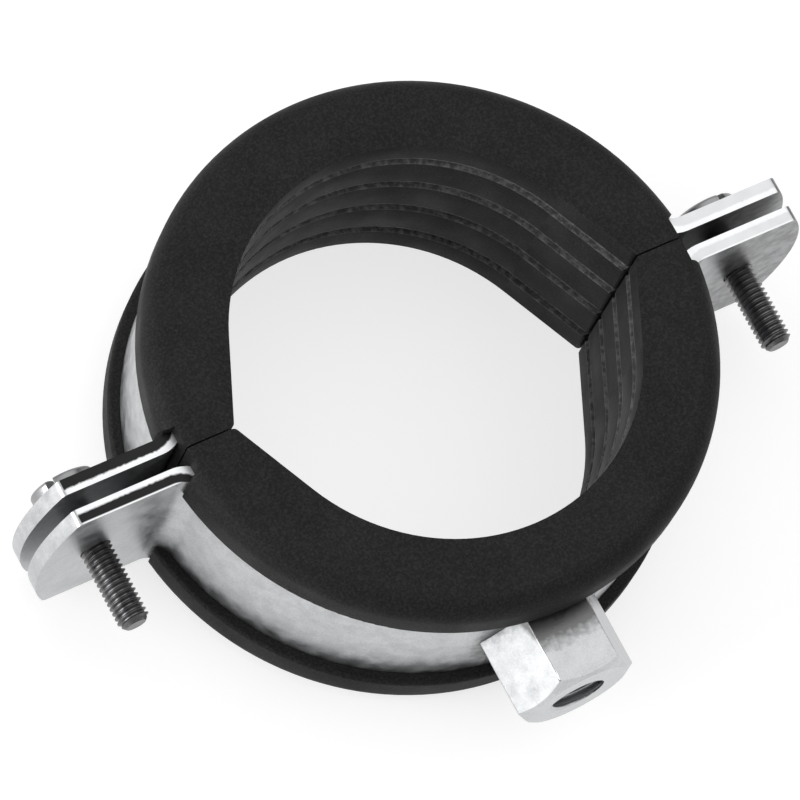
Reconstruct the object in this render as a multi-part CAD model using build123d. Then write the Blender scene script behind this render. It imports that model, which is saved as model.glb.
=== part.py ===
from build123d import *
from math import atan2, cos, radians, sin, sqrt, tan
import os

# Rubber lined pipe clamp, two strap halves on two screws, with a connection nut.
# Frame: origin in the middle of the bore, +Z along the pipe, +X from ear to ear,
# screw heads towards +Y and the connection nut at -Y.  All sizes in millimetres.

# Bore and rubber liner
bore_radius = 38.1          # grips a 76.1 mm pipe
runout_angle = 25.0         # last degrees before the split, where the bore wall runs straight
rubber_thickness = 10.9     # from the bore to the strap
liner_width = 44.5
liner_gap = 0.3             # between the ends of the two liner halves
tip_round = 1.0             # soft corner of each liner half where bore and split meet
lip_thickness = 2.3         # rubber over the outside of the strap
lip_cover = 5.75            # how far each lip reaches over the strap
lip_round = 4.6             # rounding of the outer rims
lip_edge_round = 0.8        # rounding of the lips' free edges
liner_end_inset = 0.4       # the liner stops this far short of the outside of the strap
groove_count = 4            # grooves round the bore
groove_pitch = 10.4
groove_width = 2.2
groove_depth = 1.0
strap_fit = 0.1             # play between strap and rubber

# Strap halves
strap_width = 37.5
strap_thickness = 3.0
half_set = 1.7              # each half is rolled about a centre this far past the split
bend_radius = 4.0           # inside radius of the bend from strap to ear
ear_gap = 3.1
ear_reach = 27.5            # from the outside of the strap to the tip of the ear
ear_bow = 4.5               # how far the ear's curved end stands out past its corners
ear_corner = 1.5

# Clamping screws
screw_inset = 11.5          # from the tip of the ear to the screw
thread_diameter = 6.0
thread_play = 0.05          # radial, in the tapped lower ears
ear_hole_diameter = 6.6     # clearance hole in the upper ears
screw_length = 25.0
screw_tip_chamfer = 1.0
head_diameter = 12.4
head_height = 5.5
head_rim = 4.8              # straight wall of the head below its dome
head_seat = 0.05            # play under the head
slot_width = 1.6
slot_depth = 2.4
cross_span = 6.4
cross_width = 1.4
cross_depth = 2.0
left_slot_turn = -35.0      # how far each screw's slot is turned from the pipe's direction
right_slot_turn = 20.0

# Connection nut
nut_across_flats = 21.0
nut_height = 14.7           # from the crest of the strap
nut_end_diameter = 19.4     # flat end of the nut inside its chamfer
nut_end_angle = 30.0
nut_seat = 0.05             # between nut and strap
nut_bore_radius = 5.1       # core of an M12 thread
nut_mouth_chamfer = 1.0
nut_relief_radius = 6.0     # the thread runs out into a wider hole next to the strap
nut_relief_depth = 1.5

# Worked out
strap_inner = bore_radius + rubber_thickness
strap_outer = strap_inner + strap_thickness
liner_outer = strap_outer + lip_thickness
liner_end_x = strap_outer - liner_end_inset
ear_face = ear_gap / 2
ear_back = ear_face + strap_thickness
ear_end = strap_outer + ear_reach
screw_x = ear_end - screw_inset
strap_crest = half_set - strap_outer

os.makedirs("parts", exist_ok=True)


def slab(face, width):
    """The section, thickened evenly to both sides of the mid plane."""
    return extrude(face, width / 2, both=True)


def bore_section(radius):
    """Section of the bore: an arc in each half, with straight run-outs that meet on the split."""
    reach = radius / cos(radians(runout_angle))
    tangent_x = radius * cos(radians(runout_angle))
    tangent_y = radius * sin(radians(runout_angle))
    edges = []
    for side in (1, -1):
        edges.append(Line((side * reach, 0), (side * tangent_x, side * tangent_y)))
        edges.append(ThreePointArc((side * tangent_x, side * tangent_y), (0, side * radius),
                                   (-side * tangent_x, side * tangent_y)))
        edges.append(Line((-side * tangent_x, side * tangent_y), (-side * reach, 0)))
    return make_face(Wire(edges))


def strap_section(play):
    """Section of the upper strap half, its two bends and its ears, grown by the play all round."""
    inner = strap_inner - play
    outer = strap_outer + play
    low = ear_face - play
    high = ear_back + play
    inside = bend_radius - play
    outside = inside + strap_thickness + 2 * play
    bend_y = high + inside
    bend_x = sqrt((outer + inside) ** 2 - (bend_y + half_set) ** 2)
    start = atan2(bend_y + half_set, bend_x)
    out_x = outer * cos(start)
    out_y = outer * sin(start) - half_set
    in_x = inner * cos(start)
    in_y = inner * sin(start) - half_set
    halfway = (-radians(90) + start - radians(180)) / 2
    edges = [
        ThreePointArc((out_x, out_y), (0, outer - half_set), (-out_x, out_y)),
        ThreePointArc((in_x, in_y), (0, inner - half_set), (-in_x, in_y)),
    ]
    for side in (1, -1):
        edges.append(ThreePointArc(
            (side * out_x, out_y),
            (side * (bend_x + inside * cos(halfway)), bend_y + inside * sin(halfway)),
            (side * bend_x, high)))
        edges.append(ThreePointArc(
            (side * in_x, in_y),
            (side * (bend_x + outside * cos(halfway)), bend_y + outside * sin(halfway)),
            (side * bend_x, low)))
        edges.append(Line((side * bend_x, high), (side * ear_end, high)))
        edges.append(Line((side * ear_end, high), (side * ear_end, low)))
        edges.append(Line((side * ear_end, low), (side * bend_x, low)))
    return make_face(Wire(edges))


def strap_plan():
    """Outline of a strap half seen from above, with the curved ends of its ears."""
    half_width = strap_width / 2
    corner_x = ear_end - ear_bow
    edges = [Line((-corner_x, half_width), (corner_x, half_width)),
             Line((-corner_x, -half_width), (corner_x, -half_width))]
    for side in (1, -1):
        edges.append(ThreePointArc((side * corner_x, half_width), (side * ear_end, 0),
                                   (side * corner_x, -half_width)))
    return make_face(Wire(edges))


def strap_half(hole_diameter):
    """An upper strap half with its ears and screw holes."""
    strap = slab(strap_section(0), strap_width) & slab(Plane.XZ * strap_plan(), 4 * strap_outer)
    corners = [edge for edge in strap.edges().filter_by(Axis.Y) if abs(edge.center().X) > screw_x]
    strap = fillet(corners, ear_corner)
    for side in (1, -1):
        hole = Cylinder(hole_diameter / 2, 4 * strap_thickness, rotation=(90, 0, 0))
        strap -= Pos(side * screw_x, (ear_face + ear_back) / 2, 0) * hole
    return strap


def groove(radius, height):
    """A ring cut round the bore wall at one height."""
    return Pos(0, 0, height) * slab(bore_section(radius), groove_width)


def liner_end_cut():
    """What is cut from each end of a liner half, where the strap bends out to its ear."""
    low = -ear_gap
    high = ear_back + strap_fit
    far = 2 * liner_outer
    turn = radians(45)
    end_round = liner_outer - liner_end_x
    round_y = high + end_round
    outline = Polyline((liner_end_x, high), (liner_end_x, low), (far, low), (far, round_y), (liner_outer, round_y))
    outline += ThreePointArc(
        (liner_outer, round_y),
        (liner_end_x + end_round * cos(turn), round_y - end_round * sin(turn)),
        (liner_end_x, high))
    return slab(make_face(outline), 2 * liner_width)


def liner_half():
    """The upper liner half: thick rubber under the strap, with lips that hook over its edges."""
    half_width = liner_width / 2
    rim = Pos(0, -half_set, 0) * Cylinder(liner_outer, liner_width)
    liner = fillet(rim.edges().filter_by(GeomType.CIRCLE), lip_round)
    liner &= Pos(0, liner_outer + liner_gap / 2, 0) * Box(4 * liner_outer, 2 * liner_outer, liner_width)
    liner -= slab(bore_section(bore_radius), 2 * liner_width)
    tips = [edge for edge in liner.edges().filter_by(Axis.Z) if abs(edge.center().X) < strap_inner]
    liner = fillet(tips, tip_round)
    cut = liner_end_cut()
    liner -= cut
    liner -= mirror(cut, Plane.YZ)
    window = Pos(0, -half_set, 0) * (Cylinder(2 * liner_outer, strap_width - 2 * lip_cover)
                                     - Cylinder(strap_outer, strap_width))
    liner -= window
    free_edges = [edge for edge in liner.edges().filter_by(GeomType.CIRCLE)
                  if abs(edge.radius - liner_outer) < lip_thickness / 2
                  and abs(abs(edge.center().Z) - (strap_width / 2 - lip_cover)) < groove_width / 10]
    liner = fillet(free_edges, lip_edge_round)
    liner -= slab(strap_section(strap_fit), strap_width + 2 * strap_fit)
    for turn in range(groove_count):
        height = (turn - (groove_count - 1) / 2) * groove_pitch
        liner -= groove(bore_radius + groove_depth, height)
    return liner


def connection_nut():
    """Hexagon nut with a chamfered end, shaped to sit on the crest of the lower strap."""
    length = nut_height + strap_thickness
    corner = nut_across_flats / 2 / cos(radians(30))
    end_radius = nut_end_diameter / 2
    end_drop = (corner - end_radius) * tan(radians(nut_end_angle))
    turned = make_face(Polyline((0, 0), (corner, 0), (corner, length - end_drop),
                                (end_radius, length), (0, length), close=True))
    nut = extrude(RegularPolygon(corner, 6), length) & revolve(Plane.XZ * turned, Axis.Z)
    nut -= Cylinder(nut_bore_radius, 4 * length)
    mouth_radius = nut_bore_radius + nut_mouth_chamfer
    nut -= Pos(0, 0, length) * Cone(nut_bore_radius - nut_mouth_chamfer, mouth_radius, 2 * nut_mouth_chamfer)
    nut -= Cylinder(nut_relief_radius, 2 * (strap_thickness + nut_relief_depth))
    nut = Pos(0, strap_crest + strap_thickness, 0) * Rot(90, 0, 0) * nut
    return nut - Pos(0, half_set, 0) * Cylinder(strap_outer + nut_seat, 2 * strap_width)


def screw(slot_turn):
    """A clamping screw, head up, its thread left plain: a domed head with a slot and a cross recess."""
    shank = thread_diameter / 2
    head = head_diameter / 2
    dome = head_height - head_rim
    dome_radius = (head ** 2 + dome ** 2) / (2 * dome)
    half_chord = radians(90) - atan2(head, dome_radius - dome) / 2
    outline = Polyline((0, head_height), (0, -screw_length), (shank - screw_tip_chamfer, -screw_length),
                       (shank, screw_tip_chamfer - screw_length), (shank, 0), (head, 0), (head, head_rim))
    outline += ThreePointArc(
        (head, head_rim),
        (dome_radius * cos(half_chord), head_height - dome_radius + dome_radius * sin(half_chord)),
        (0, head_height))
    body = revolve(Plane.XZ * make_face(outline), Axis.Z)
    top = (Align.CENTER, Align.CENTER, Align.MAX)
    body -= Pos(0, 0, head_height) * Box(slot_width, 2 * head_diameter, slot_depth, align=top)
    for turn in (0, 90):
        body -= Pos(0, 0, head_height) * Rot(0, 0, turn) * Box(cross_width, cross_span, cross_depth, align=top)
    return Rot(-90, 0, 0) * Rot(0, 0, slot_turn) * body


def make_parts():
    """Every piece by its node name, in place."""
    nodes = {
        "upper_band": strap_half(ear_hole_diameter),
        "lower_band": mirror(strap_half(thread_diameter + 2 * thread_play), Plane.XZ),
        "upper_liner": liner_half(),
        "lower_liner": mirror(liner_half(), Plane.XZ),
        "connection_nut": connection_nut(),
    }
    for name, side, slot_turn in (("left_screw", -1, left_slot_turn), ("right_screw", 1, right_slot_turn)):
        nodes[name] = Pos(side * screw_x, ear_back + head_seat, 0) * screw(slot_turn)
    return nodes


for name, solid in make_parts().items():
    export_step(solid, f"parts/{name}.step")
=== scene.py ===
from math import ceil, cos, hypot, pi, radians, sin

import bmesh
import bpy
from mathutils import Matrix, Vector


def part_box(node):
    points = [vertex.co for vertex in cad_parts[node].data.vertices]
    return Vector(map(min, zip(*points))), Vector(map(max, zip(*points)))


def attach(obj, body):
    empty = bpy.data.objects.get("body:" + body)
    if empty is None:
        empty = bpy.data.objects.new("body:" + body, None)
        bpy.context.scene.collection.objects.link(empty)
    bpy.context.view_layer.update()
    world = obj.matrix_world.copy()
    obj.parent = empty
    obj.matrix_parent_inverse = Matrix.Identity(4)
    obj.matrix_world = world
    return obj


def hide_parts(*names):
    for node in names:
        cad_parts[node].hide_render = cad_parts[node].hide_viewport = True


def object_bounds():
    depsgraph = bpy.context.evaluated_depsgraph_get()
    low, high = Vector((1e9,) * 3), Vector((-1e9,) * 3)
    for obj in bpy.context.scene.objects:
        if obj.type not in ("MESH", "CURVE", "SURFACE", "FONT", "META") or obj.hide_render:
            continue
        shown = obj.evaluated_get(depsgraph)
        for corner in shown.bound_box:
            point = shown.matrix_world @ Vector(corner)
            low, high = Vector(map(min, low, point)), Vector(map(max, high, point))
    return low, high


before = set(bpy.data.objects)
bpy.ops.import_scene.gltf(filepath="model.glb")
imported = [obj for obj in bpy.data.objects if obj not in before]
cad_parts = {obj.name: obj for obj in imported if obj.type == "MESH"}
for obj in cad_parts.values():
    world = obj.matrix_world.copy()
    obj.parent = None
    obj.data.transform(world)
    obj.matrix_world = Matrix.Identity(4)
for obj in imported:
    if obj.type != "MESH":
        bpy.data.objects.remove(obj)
cad_low, cad_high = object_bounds()

MM = 0.001

# The sizes of the solids that the pieces and the materials here are fitted to.
STRAP_OUTSIDE = 52.0 * MM       # radius, about a centre that lies HALF_SET past the split
HALF_SET = 1.7 * MM
STRAP_EDGE_Z = 18.75 * MM
BEND_X = 56.0 * MM              # where each ear bends out of its strap
BEND_Y = 8.55 * MM
BEND_OUTSIDE = 7.0 * MM         # radius of the bend on the pipe side
GROOVE_PITCH = 10.4 * MM
GROOVE_WIDTH = 2.2 * MM
NUT_FLATS = 21 * MM
HEAD_HEIGHT = 5.5 * MM
HEAD_RIM = 4.8 * MM             # height at which the head's dome starts
SLOT_WIDTH = 1.6 * MM
SLOT_REACH = 20 * MM            # past the head at both ends
SLOT_DEPTH = 2.4 * MM
CROSS_WIDTH = 1.4 * MM
CROSS_SPAN = 6.4 * MM
CROSS_DEPTH = 2.0 * MM
SLOT_TURNS = {"left_screw": -35, "right_screw": 20}     # degrees

# The fine shapes that only the scene has.
STRAP_ROUNDING = 0.3 * MM
LINER_ROUNDING = 0.15 * MM
NUT_ROUNDING = 0.25 * MM
ROUNDING_STEPS = 3
ROUNDED_ANGLE = 35              # edges sharper than this, in degrees, are rounded
SMOOTH_ANGLE = 32               # edges sharper than this, in degrees, stay sharp
HEAD_FOOT = 0.3 * MM            # chamfer under the head
HEAD_CORNER = 0.7 * MM          # rounding at the start of the dome
SCREW_PITCH = 1.0 * MM
SCREW_CREST = 3.0 * MM
SCREW_ROOT = 2.42 * MM
SCREW_TIP = 1.95 * MM
SCREW_OVERLAP = 0.6 * MM        # how far the threaded bar reaches into the head
NUT_PITCH = 1.75 * MM
NUT_CREST = 6.05 * MM
NUT_ROOT = 5.05 * MM
NUT_CORNERS_FROM = NUT_FLATS * 0.55     # its upright edges are further out than this
NUT_THREAD_LENGTH = 13.15 * MM
NUT_THREAD_START = 1 * MM       # how far the thread is cut past the free end
# one pitch of a thread: how far along it, and how deep from crest 0 to root 1
THREAD_FORM = ((0.0, 0.12), (0.04, 0.0), (0.11, 0.0), (0.15, 0.12),
               (0.42, 0.93), (0.47, 1.0), (0.68, 1.0), (0.73, 0.93))
THREAD_STEPS = 48               # corners in each turn of a thread
THREAD_LEAD = 1.05              # turns of it that start below its bar
THREAD_SPARE = 3                # turns more than fit on the bar
ROUND_STEPS = 96                # corners round a head
DOME_STEPS = 8                  # rings from a head's middle to its rim
SAME_POINT = 0.002 * MM         # points of a solid closer than this are one point
THREAD_POINT = 0.001 * MM       # the same for the points of a thread
THREAD_SLIVER = 0.0001 * MM     # edges of a thread shorter than this go
HAIR = 0.01 * MM                # less than this counts as nothing
UPRIGHT = 0.001                 # a face whose normal has less Y than this stands upright
LEVEL = 0.9999                  # and one whose normal has at least this lies level


# Meshes

def add_object(name, data):
    made = bpy.data.objects.new(name, data)
    bpy.context.scene.collection.objects.link(made)
    return made


def add_mesh(name, build):
    """An object of a finished bmesh, which is freed."""
    mesh = bpy.data.meshes.new(name)
    build.to_mesh(mesh)
    build.free()
    return add_object(name, mesh)


def bake(obj):
    """Replaces the object's mesh by what its modifiers make of it."""
    shown = obj.evaluated_get(bpy.context.evaluated_depsgraph_get())
    mesh = bpy.data.meshes.new_from_object(shown)
    obj.modifiers.clear()
    obj.data = mesh


def smooth(mesh):
    """Shades smooth, but for the sharp edges."""
    mesh.polygons.foreach_set("use_smooth", [True] * len(mesh.polygons))
    mesh.set_sharp_from_angle(angle=radians(SMOOTH_ANGLE))


def threaded_bar(name, pitch, crest, root, bottom, top, end_radius):
    """A closed bar along Z with a right-hand thread round it and a chamfer at its lower end."""
    form = [(part, crest + (root - crest) * depth) for part, depth in THREAD_FORM]
    count = (ceil((top - bottom) / pitch) + THREAD_SPARE) * THREAD_STEPS
    build = bmesh.new()
    rows = []
    for turn in range(count + 1):
        angle = 2 * pi * turn / THREAD_STEPS
        row = []
        for part, radius in form:
            # the thread starts just below the bar, and each point is held between the ends
            height = bottom + pitch * (turn / THREAD_STEPS + part - THREAD_LEAD)
            height = min(max(height, bottom), top)
            limit = root if height >= top else end_radius + (height - bottom)
            reach = min(radius, limit)
            row.append(build.verts.new((reach * cos(angle), reach * sin(angle), height)))
        rows.append(row)
    last = len(form) - 1
    for turn in range(count):
        here, after = rows[turn], rows[turn + 1]
        for place in range(last):
            build.faces.new((here[place], after[place], after[place + 1], here[place + 1]))
        if turn + 1 + THREAD_STEPS <= count:
            above, above_after = rows[turn + THREAD_STEPS], rows[turn + 1 + THREAD_STEPS]
            build.faces.new((here[last], after[last], above_after[0], above[0]))
    bmesh.ops.remove_doubles(build, verts=build.verts, dist=THREAD_POINT)
    bmesh.ops.dissolve_degenerate(build, edges=build.edges, dist=THREAD_SLIVER)
    rims = [edge for edge in build.edges if edge.is_boundary]
    bmesh.ops.holes_fill(build, edges=rims, sides=0)
    bmesh.ops.recalc_face_normals(build, faces=build.faces)
    return add_mesh(name, build)


def turned(name, outline):
    """A solid turned about Z from (radius, height) pairs; the first and last lie on the axis."""
    build = bmesh.new()
    bottom = build.verts.new((0, 0, outline[0][1]))
    top = build.verts.new((0, 0, outline[-1][1]))
    angles = [2 * pi * k / ROUND_STEPS for k in range(ROUND_STEPS)]
    rings = []
    for radius, height in outline[1:-1]:
        rings.append([build.verts.new((radius * cos(angle), radius * sin(angle), height))
                      for angle in angles])
    for k in range(ROUND_STEPS):
        after = (k + 1) % ROUND_STEPS
        build.faces.new((bottom, rings[0][after], rings[0][k]))
        build.faces.new((top, rings[-1][k], rings[-1][after]))
        for low, high in zip(rings, rings[1:]):
            build.faces.new((low[k], low[after], high[after], high[k]))
    bmesh.ops.recalc_face_normals(build, faces=build.faces)
    return add_mesh(name, build)


def block(name, size, centre, turn=0):
    """A box of that size, turned about Z in degrees."""
    build = bmesh.new()
    bmesh.ops.create_cube(build, size=1.0)
    build.transform(Matrix.Rotation(radians(turn), 4, "Z") @ Matrix.Translation(centre)
                    @ Matrix.Diagonal((*size, 1)))
    return add_mesh(name, build)


def cut(obj, *tools):
    """Cuts the tools out of the object and removes them."""
    for tool in tools:
        step = obj.modifiers.new("cut", "BOOLEAN")
        step.operation = "DIFFERENCE"
        step.solver = "EXACT"
        step.object = tool
        bake(obj)
        bpy.data.objects.remove(tool)


def join(name, *objects):
    """One object of several meshes."""
    build = bmesh.new()
    for obj in objects:
        build.from_mesh(obj.data)
        bpy.data.objects.remove(obj)
    return add_mesh(name, build)


def round_edges(obj, width):
    """Softens the sharp edges of a solid."""
    weld = obj.modifiers.new("weld", "WELD")
    weld.merge_threshold = SAME_POINT
    bevel = obj.modifiers.new("bevel", "BEVEL")
    bevel.width = width
    bevel.segments = ROUNDING_STEPS
    bevel.limit_method = "ANGLE"
    bevel.angle_limit = radians(ROUNDED_ANGLE)
    bevel.harden_normals = False
    bevel.use_clamp_overlap = True


# Pieces

def head_outline(radius):
    """Half the section of a cheese head with a softly domed top."""
    outline = [(0, 0), (radius - HEAD_FOOT, 0), (radius, HEAD_FOOT)]
    flat = radius - HEAD_CORNER
    for degrees in range(0, 91, 15):
        angle = radians(degrees)
        outline.append((flat + HEAD_CORNER * cos(angle),
                        HEAD_RIM - HEAD_CORNER + HEAD_CORNER * sin(angle)))
    for k in range(1, DOME_STEPS):
        part = 1 - k / DOME_STEPS
        outline.append((flat * part, HEAD_RIM + (HEAD_HEIGHT - HEAD_RIM) * (1 - part * part)))
    outline.append((0, HEAD_HEIGHT))
    return outline


def make_screw(node):
    """A clamping screw with its thread, its slot and its cross recess."""
    low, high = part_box(node)
    radius = (high[0] - low[0]) / 2
    seat = high[1] - HEAD_HEIGHT
    head = turned("head", head_outline(radius))
    top = (0, 0, HEAD_HEIGHT)
    tools = [block("slot", (SLOT_WIDTH, SLOT_REACH, 2 * SLOT_DEPTH), top)]
    for turn in (0, 90):
        tools.append(block("cross", (CROSS_WIDTH, CROSS_SPAN, 2 * CROSS_DEPTH), top, turn))
    cut(head, *tools)
    tip = low[1] - seat
    bar = threaded_bar("bar", SCREW_PITCH, SCREW_CREST, SCREW_ROOT, tip, SCREW_OVERLAP, SCREW_TIP)
    screw = join(node + "_threaded", head, bar)
    stand = Matrix.Translation(((low[0] + high[0]) / 2, seat, 0))
    screw.data.transform(stand @ Matrix.Rotation(radians(-90), 4, "X")
                         @ Matrix.Rotation(radians(SLOT_TURNS[node]), 4, "Z"))
    smooth(screw.data)
    return screw


def make_nut():
    """The connection nut with its corners softened and the thread in its bore."""
    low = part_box("connection_nut")[0]
    nut = add_object("threaded_nut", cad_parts["connection_nut"].data.copy())
    build = bmesh.new()
    build.from_mesh(nut.data)
    bmesh.ops.remove_doubles(build, verts=build.verts, dist=SAME_POINT)
    corners = []
    for edge in build.edges:
        first, second = [vert.co for vert in edge.verts]
        upright = hypot(first.x - second.x, first.z - second.z) < HAIR
        if upright and hypot(first.x, first.z) > NUT_CORNERS_FROM:
            corners.append(edge)
    bmesh.ops.bevel(build, geom=corners, offset=NUT_ROUNDING, segments=ROUNDING_STEPS,
                    profile=0.5, affect="EDGES")
    build.to_mesh(nut.data)
    build.free()
    tap = threaded_bar("tap", NUT_PITCH, NUT_CREST, NUT_ROOT, -NUT_THREAD_LENGTH, NUT_THREAD_START,
                       NUT_ROOT)
    tap.data.transform(Matrix.Translation((0, low[1], 0)) @ Matrix.Rotation(radians(90), 4, "X"))
    cut(nut, tap)
    smooth(nut.data)
    # the flat faces are shaded flat, so that the curves next to them leave no streaks there
    for face in nut.data.polygons:
        out = face.normal.dot(face.center) > NUT_FLATS / 2 - HAIR
        side = out and abs(face.normal.y) < UPRIGHT
        end = abs(face.normal.y) >= LEVEL
        face.use_smooth = not side and not end
    return nut


# Materials

# Zinc plate: its dull and its bright grey, and the roughness of its smoothest and roughest patch.
STRAP_ZINC = ((0.44, 0.45, 0.46), (0.64, 0.65, 0.66), 0.34, 0.48)
NUT_ZINC = ((0.46, 0.47, 0.48), (0.62, 0.63, 0.64), 0.26, 0.38)
# the screws' grey is darkened as painted shade of their threads
SCREW_ZINC_PAINTED_SHADE = ((0.1, 0.1, 0.103), (0.2, 0.2, 0.204), 0.28, 0.42)
ZINC_CLOUDS = 3 * MM            # size of the patches
ZINC_GRAIN = 0.35 * MM
ZINC_RELIEF = 0.03 * MM

# A screw is blended with this from its seat up, so that its head carries less of the painted
# shade.
HEAD_ZINC = (0.9, 0.91, 0.92)
HEAD_SHARE = 0.22
HEAD_FADE = 0.3 * MM

# Painted shade that darkens the plate on the right ears.
RIGHT_EAR_PAINTED_SHADE = (0.15, 0.15, 0.153)
RIGHT_EAR_SHADE_SHARE = 0.8
RIGHT_EAR_SHADE_X = (54 * MM, 64 * MM)
RIGHT_EAR_SHADE_GRAIN = 2 * MM

# The burnt mark round the nut's weld, together with painted shade next to the strap and under the
# rubber lip.
BURNT_AND_SHADED_ZINC = (0.1, 0.098, 0.095)
BURN_AND_SHADE_SHARE = 0.8
BURN_AND_SHADE_FADE = (0.2 * MM, 3.0 * MM)        # how far from the weld it starts to fade, and is gone
BURN_AND_SHADE_RAGGED = 4 * MM                    # how uneven that is
BURN_AND_SHADE_GRAIN = 1.2 * MM
BURN_AND_SHADE_ON_STRAP = 0.7 * MM                # how far past the nut's flats it is full on the strap
BURN_AND_SHADE_ON_NUT = 1.5 * MM                  # how far inside the strap's radius it is full on the nut
# painted shade of the rubber lip: it reaches this much further on the nut's two end faces
LIP_SHADE_REACH = 6.5 * MM            # how much further it reaches on the nut's two end faces
LIP_SHADE_ENDS = (8.5 * MM, 10.4 * MM)       # how far from the middle it grows to that

# The sheared edges of the strap: a cut part on the pipe side, then a torn part.
CUT_STEEL = (0.86, 0.87, 0.88)
CUT_START = (STRAP_EDGE_Z - 0.12 * MM, STRAP_EDGE_Z - 0.06 * MM)
TORN_STEEL = (0.025, 0.025, 0.026)
TORN_START = (1.1 * MM, 1.45 * MM)      # how far through the strap it starts
TORN_ENDS = {"upper_band": 3.2 * MM, "lower_band": 2.7 * MM}    # and where it ends
TORN_SOFT = 0.1 * MM
TORN_RAGGED = 0.5 * MM
TORN_GRAIN = 0.8 * MM
# painted light: the torn part is painted lighter from left to right across these
TORN_PAINTED_LIGHT_X = (-30 * MM, 30 * MM)            # it fades across these, from left to right
TORN_PAINTED_LIGHT_SHARES = (1.0, 0.2)

RUBBER_BLACK = (0.006, 0.006, 0.0063)
RUBBER_GREY = (0.024, 0.024, 0.0245)
RUBBER_ROUGHNESS = (0.56, 0.7)
RUBBER_GLOSS = 0.2
RUBBER_CLOUDS = 9 * MM
RUBBER_GRAIN = 0.45 * MM
RUBBER_RELIEF = 0.06 * MM

# Painted highlight along the walls of the bore's grooves, and painted light in the grooves.
GROOVE_HIGHLIGHT = (0.21, 0.21, 0.21)
GROOVE_HIGHLIGHT_GRAIN = 1.2 * MM
GROOVE_HIGHLIGHT_IN_GROOVE = 0.45
GROOVE_HIGHLIGHT_FLOOR_FADE = (-0.15 * MM, 0.05 * MM)      # past the wall
GROOVE_HIGHLIGHT_WALL_FADE = (0.15 * MM, 0.35 * MM)         # to both sides of the wall
GROOVE_HIGHLIGHT_REACH = 18 * MM            # along the pipe, to each side of the middle
GROOVE_HIGHLIGHT_CLEAR = 0.6 * MM           # from the split
GROOVE_HIGHLIGHT_RADIUS = 44 * MM


def node_material(name, metallic):
    """A material with its tree, its main shader and the object's own coordinates."""
    made = bpy.data.materials.new(name)
    made.use_nodes = True
    tree = made.node_tree
    shader = tree.nodes["Principled BSDF"]
    shader.inputs["Metallic"].default_value = metallic
    place = tree.nodes.new("ShaderNodeTexCoord").outputs["Object"]
    return made, tree, shader, place


def noise(tree, place, size, detail=2.0, rough=0.5):
    """Noise whose grains are about that size in metres."""
    made = tree.nodes.new("ShaderNodeTexNoise")
    made.inputs["Scale"].default_value = 1 / size
    made.inputs["Detail"].default_value = detail
    made.inputs["Roughness"].default_value = rough
    tree.links.new(place, made.inputs["Vector"])
    return made.outputs["Fac"]


def spread(tree, value, low, high, to_low, to_high):
    """Maps low to high onto to_low to to_high, clamped."""
    made = tree.nodes.new("ShaderNodeMapRange")
    numbers = {"From Min": low, "From Max": high, "To Min": to_low, "To Max": to_high}
    for name, number in numbers.items():
        made.inputs[name].default_value = number
    tree.links.new(value, made.inputs["Value"])
    return made.outputs["Result"]


def blend(tree, share, first, second):
    """Mixes two colours by a share."""
    made = tree.nodes.new("ShaderNodeMix")
    made.data_type = "RGBA"
    tree.links.new(share, made.inputs["Factor"])
    for place, colour in ((made.inputs["A"], first), (made.inputs["B"], second)):
        if isinstance(colour, tuple):
            place.default_value = (*colour, 1)
        else:
            tree.links.new(colour, place)
    return made.outputs["Result"]


def calc(tree, kind, *values):
    """One step of arithmetic on values or numbers."""
    made = tree.nodes.new("ShaderNodeMath")
    made.operation = kind
    for place, value in zip(made.inputs, values):
        if isinstance(value, (int, float)):
            place.default_value = value
        else:
            tree.links.new(value, place)
    return made.outputs["Value"]


def axes_of(tree, place):
    """The three coordinates of a place."""
    made = tree.nodes.new("ShaderNodeSeparateXYZ")
    tree.links.new(place, made.inputs["Vector"])
    return made.outputs["X"], made.outputs["Y"], made.outputs["Z"]


def absolute(tree, values):
    return [calc(tree, "ABSOLUTE", value) for value in values]


def length(tree, first, second):
    """The length of a step with those two parts."""
    squares = [calc(tree, "MULTIPLY", part, part) for part in (first, second)]
    return calc(tree, "SQRT", calc(tree, "ADD", *squares))


def grain(tree, shader, height, depth, strength):
    """Gives the surface a fine relief."""
    bump = tree.nodes.new("ShaderNodeBump")
    bump.inputs["Strength"].default_value = strength
    bump.inputs["Distance"].default_value = depth
    tree.links.new(height, bump.inputs["Height"])
    tree.links.new(bump.outputs["Normal"], shader.inputs["Normal"])


def zinc(name, dull, bright, smoothest, roughest):
    """Zinc plate with cloudy patches and a faint grain; its colour is left to link."""
    made, tree, shader, place = node_material(name, 1.0)
    clouds = noise(tree, place, ZINC_CLOUDS, detail=4.0, rough=0.6)
    fine = noise(tree, place, ZINC_GRAIN, rough=0.6)
    mixed = calc(tree, "ADD", calc(tree, "MULTIPLY", clouds, 0.6),
                 calc(tree, "MULTIPLY", fine, 0.4))
    colour = blend(tree, spread(tree, mixed, 0.35, 0.65, 0, 1), dull, bright)
    roughness = spread(tree, clouds, 0.3, 0.7, smoothest, roughest)
    tree.links.new(roughness, shader.inputs["Roughness"])
    grain(tree, shader, fine, ZINC_RELIEF, 0.25)
    return made, tree, shader, place, colour


def weld_burn_and_shade(tree, place, colour, away):
    """Darkens the zinc round the nut's weld, as a burnt mark and as painted shade, less so further
    away from it.
    """
    off_middle = calc(tree, "SUBTRACT", noise(tree, place, BURN_AND_SHADE_GRAIN, detail=3.0), 0.5)
    ragged = calc(tree, "ADD", away, calc(tree, "MULTIPLY", off_middle, BURN_AND_SHADE_RAGGED))
    return blend(tree, spread(tree, ragged, *BURN_AND_SHADE_FADE, BURN_AND_SHADE_SHARE, 0), colour, BURNT_AND_SHADED_ZINC)


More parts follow.
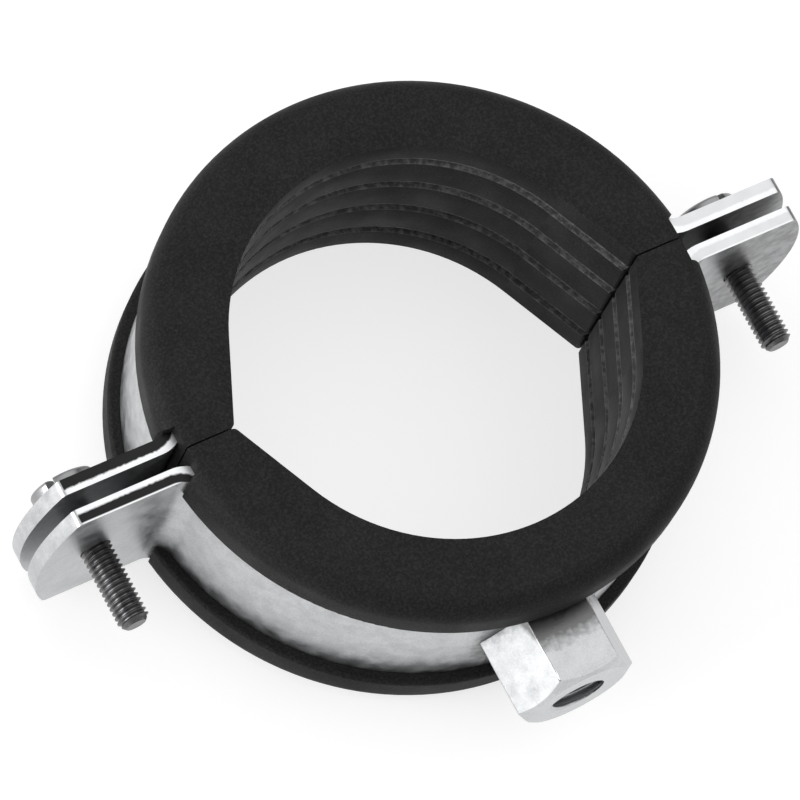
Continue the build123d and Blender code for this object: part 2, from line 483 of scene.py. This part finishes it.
def zinc_strap(name, torn_end, welded):
    """Zinc plate on a strap half, with its sheared edges."""
    made, tree, shader, place, colour = zinc(name, *STRAP_ZINC)
    x, y, z = axes_of(tree, place)
    # the burnt mark and painted shade round the nut's weld
    if welded:
        away = calc(tree, "SUBTRACT", length(tree, x, z), NUT_FLATS / 2 + BURN_AND_SHADE_ON_STRAP)
        colour = weld_burn_and_shade(tree, place, colour, away)
    # painted shade darkens the plate on the right ears
    patches = spread(tree, noise(tree, place, RIGHT_EAR_SHADE_GRAIN, detail=3.0), 0.35, 0.6, 0.6, 1)
    right_ear_shade = calc(tree, "MULTIPLY", spread(tree, x, *RIGHT_EAR_SHADE_X, 0, RIGHT_EAR_SHADE_SHARE), patches)
    colour = blend(tree, right_ear_shade, colour, RIGHT_EAR_PAINTED_SHADE)
    # how far through the thickness of strap and ear a point lies, from the pipe side
    across, up, along = absolute(tree, (x, y, z))
    aside = calc(tree, "MAXIMUM", calc(tree, "SUBTRACT", BEND_X, across), 0.0)
    above = calc(tree, "MAXIMUM", calc(tree, "SUBTRACT", BEND_Y, up), 0.0)
    depth = calc(tree, "SUBTRACT", BEND_OUTSIDE, length(tree, aside, above))
    # a sheared edge is cut and bright on the pipe side, then torn and dark; the torn part is
    # painted lighter to the right as painted light
    uneven = calc(tree, "MULTIPLY", noise(tree, place, TORN_GRAIN), TORN_RAGGED)
    ragged = calc(tree, "ADD", depth, uneven)
    torn = calc(tree, "MULTIPLY", spread(tree, ragged, *TORN_START, 0, 1),
                spread(tree, depth, torn_end - TORN_SOFT, torn_end + TORN_SOFT, 1, 0))
    on_edge = spread(tree, along, *CUT_START, 0, 1)
    side = spread(tree, x, *TORN_PAINTED_LIGHT_X, *TORN_PAINTED_LIGHT_SHARES)
    share = calc(tree, "MULTIPLY", calc(tree, "MULTIPLY", torn, on_edge), side)
    edged = blend(tree, on_edge, colour, CUT_STEEL)
    tree.links.new(blend(tree, share, edged, TORN_STEEL), shader.inputs["Base Color"])
    return made


def zinc_nut(name):
    """Zinc plate with the weld's burnt mark and painted shade next to the strap, and painted shade
    of the rubber lip further out on the two end faces.
    """
    made, tree, shader, place, colour = zinc(name, *NUT_ZINC)
    x, y, z = axes_of(tree, place)
    radius = length(tree, x, calc(tree, "SUBTRACT", y, HALF_SET))
    away = calc(tree, "SUBTRACT", radius, STRAP_OUTSIDE - BURN_AND_SHADE_ON_NUT)
    along = calc(tree, "ABSOLUTE", z)
    # painted shade of the rubber lip reaches further on the two end faces
    lip_shade = spread(tree, along, *LIP_SHADE_ENDS, 0, LIP_SHADE_REACH)
    away = calc(tree, "SUBTRACT", away, lip_shade)
    tree.links.new(weld_burn_and_shade(tree, place, colour, away), shader.inputs["Base Color"])
    return made


def zinc_screw_painted_shade(name, seat):
    """Zinc plate darkened with painted shade of the thread, less dark on the head, which starts at
    the height of the seat.
    """
    made, tree, shader, place, colour = zinc(name, *SCREW_ZINC_PAINTED_SHADE)
    height = axes_of(tree, place)[1]
    share = spread(tree, height, seat - HEAD_FADE, seat + HEAD_FADE, 0, HEAD_SHARE)
    tree.links.new(blend(tree, share, colour, HEAD_ZINC), shader.inputs["Base Color"])
    return made


def rubber(name):
    """Black rubber with a fine grain, and a painted highlight in and along the grooves of its
    bore.
    """
    made, tree, shader, place = node_material(name, 0.0)
    fine = noise(tree, place, RUBBER_GRAIN, detail=3.0, rough=0.65)
    clouds = noise(tree, place, RUBBER_CLOUDS, detail=3.0)
    black = blend(tree, spread(tree, fine, 0.42, 0.72, 0, 1), RUBBER_BLACK, RUBBER_GREY)
    across, up, along = absolute(tree, axes_of(tree, place))
    # the painted highlight lies in the bore's grooves and along their rims, clear of the ends at
    # the split
    radius = length(tree, across, up)
    inside = calc(tree, "MULTIPLY", calc(tree, "LESS_THAN", along, GROOVE_HIGHLIGHT_REACH),
                  calc(tree, "MULTIPLY", calc(tree, "GREATER_THAN", up, GROOVE_HIGHLIGHT_CLEAR),
                       calc(tree, "LESS_THAN", radius, GROOVE_HIGHLIGHT_RADIUS)))
    shifted = calc(tree, "ADD", along, GROOVE_PITCH / 2)
    from_groove = calc(tree, "PINGPONG", shifted, GROOVE_PITCH / 2)
    past_wall = calc(tree, "SUBTRACT", from_groove, GROOVE_WIDTH / 2)
    groove = spread(tree, past_wall, *GROOVE_HIGHLIGHT_FLOOR_FADE, 1, 0)
    rim = spread(tree, calc(tree, "ABSOLUTE", past_wall), *GROOVE_HIGHLIGHT_WALL_FADE, 1, 0)
    lines = calc(tree, "MAXIMUM", calc(tree, "MULTIPLY", groove, GROOVE_HIGHLIGHT_IN_GROOVE), rim)
    specks = spread(tree, noise(tree, place, GROOVE_HIGHLIGHT_GRAIN, rough=0.6), 0.42, 0.65, 0.4, 1)
    groove_highlight = calc(tree, "MULTIPLY", lines, calc(tree, "MULTIPLY", inside, specks))
    tree.links.new(blend(tree, groove_highlight, black, GROOVE_HIGHLIGHT), shader.inputs["Base Color"])
    roughness = spread(tree, clouds, 0.3, 0.7, *RUBBER_ROUGHNESS)
    tree.links.new(roughness, shader.inputs["Roughness"])
    shader.inputs["Specular IOR Level"].default_value = RUBBER_GLOSS
    grain(tree, shader, fine, RUBBER_RELIEF, 0.5)
    return made


def dress(obj, made):
    obj.data.materials.clear()
    obj.data.materials.append(made)


# Camera, floor and light, in metres and watts
PHOTO_WIDTH = 800
CAMERA_TURNS = (("Z", 23.18), ("Y", 21.11), ("X", -15.19))
CAMERA_DISTANCE = 1.5085
CAMERA_SHIFT = (-10.27 / PHOTO_WIDTH, -12.44 / PHOTO_WIDTH)
CAMERA_LENS = 373.6             # millimetres, on a sensor of SENSOR_WIDTH
SENSOR_WIDTH = 36
CAMERA_CLIP = (0.1, 40)
FLOOR_Z = cad_low[2]
FLOOR_REACH = 12.0
FLOOR_GREY = 0.42
FLOOR_GLOW = 0.7                # for the rays that see the background itself
WORLD_STRENGTH = 0.5
# name, direction from the clamp, distance, width, height, power
PANELS = (("left_panel", (-1.0, 0.22, 0.34), 1.0, 0.7, 0.6, 6.5),
          ("top_panel", (0.34, 0.24, 0.9), 1.5, 2.0, 2.0, 9.5))


def add_camera():
    """The photograph's view: from the front, the left and a little below."""
    turn = Matrix.Identity(3)
    for axis, degrees in CAMERA_TURNS:
        turn = turn @ Matrix.Rotation(radians(degrees), 3, axis)
    data = bpy.data.cameras.new("camera")
    data.sensor_width = SENSOR_WIDTH
    data.lens = CAMERA_LENS
    data.shift_x, data.shift_y = CAMERA_SHIFT
    data.clip_start, data.clip_end = CAMERA_CLIP
    camera = add_object("camera", data)
    # the rows of the turn are the camera's right, up and back directions
    pose = turn.transposed().to_4x4()
    pose.translation = turn[2] * CAMERA_DISTANCE
    camera.matrix_world = pose
    bpy.context.scene.camera = camera


def add_panel(name, towards, distance, width, height, watts):
    """A soft rectangular light that faces the clamp."""
    data = bpy.data.lights.new(name, "AREA")
    data.shape = "RECTANGLE"
    data.size = width
    data.size_y = height
    data.energy = watts
    lamp = add_object(name, data)
    away = Vector(towards).normalized()
    lamp.location = away * distance
    lamp.rotation_euler = away.to_track_quat("Z", "Y").to_euler()


def background_share(tree):
    """1 for the rays that see the background itself, straight or in a reflection."""
    path = tree.nodes.new("ShaderNodeLightPath").outputs
    seen = calc(tree, "ADD", path["Is Camera Ray"], path["Is Glossy Ray"])
    return calc(tree, "MINIMUM", calc(tree, "ADD", seen, path["Is Transmission Ray"]), 1.0)


def add_floor():
    """A wide pale floor that keeps the clamp's shadow."""
    square = ((-1, -1), (1, -1), (1, 1), (-1, 1))
    corners = [(x * FLOOR_REACH, y * FLOOR_REACH, FLOOR_Z) for x, y in square]
    mesh = bpy.data.meshes.new("floor")
    mesh.from_pydata(corners, [], [(0, 1, 2, 3)])
    floor = add_object("floor", mesh)
    made, tree, shader = node_material("floor", 0.0)[:3]
    shader.inputs["Base Color"].default_value = (FLOOR_GREY, FLOOR_GREY, FLOOR_GREY, 1)
    shader.inputs["Roughness"].default_value = 1.0
    shader.inputs["Emission Color"].default_value = (1, 1, 1, 1)
    glow = calc(tree, "MULTIPLY", background_share(tree), FLOOR_GLOW)
    tree.links.new(glow, shader.inputs["Emission Strength"])
    dress(floor, made)


def add_world():
    world = bpy.data.worlds.new("world")
    world.use_nodes = True
    background = world.node_tree.nodes["Background"]
    background.inputs["Color"].default_value = (1, 1, 1, 1)
    background.inputs["Strength"].default_value = WORLD_STRENGTH
    bpy.context.scene.world = world


add_camera()
add_floor()
add_world()
for panel in PANELS:
    add_panel(*panel)
bpy.context.scene.view_settings.view_transform = "Standard"

for node, torn_end in TORN_ENDS.items():
    round_edges(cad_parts[node], STRAP_ROUNDING)
    dress(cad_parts[node], zinc_strap(node, torn_end, node == "lower_band"))
for node in ("upper_liner", "lower_liner"):
    round_edges(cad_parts[node], LINER_ROUNDING)
    dress(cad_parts[node], rubber(node))
screw_finish = zinc_screw_painted_shade("screws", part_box("left_screw")[1][1] - HEAD_HEIGHT)
for node in SLOT_TURNS:
    screw = make_screw(node)
    dress(screw, screw_finish)
    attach(screw, node)
    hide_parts(node)
nut = make_nut()
dress(nut, zinc_nut("connection_nut"))
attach(nut, "lower_half")
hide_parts("connection_nut")
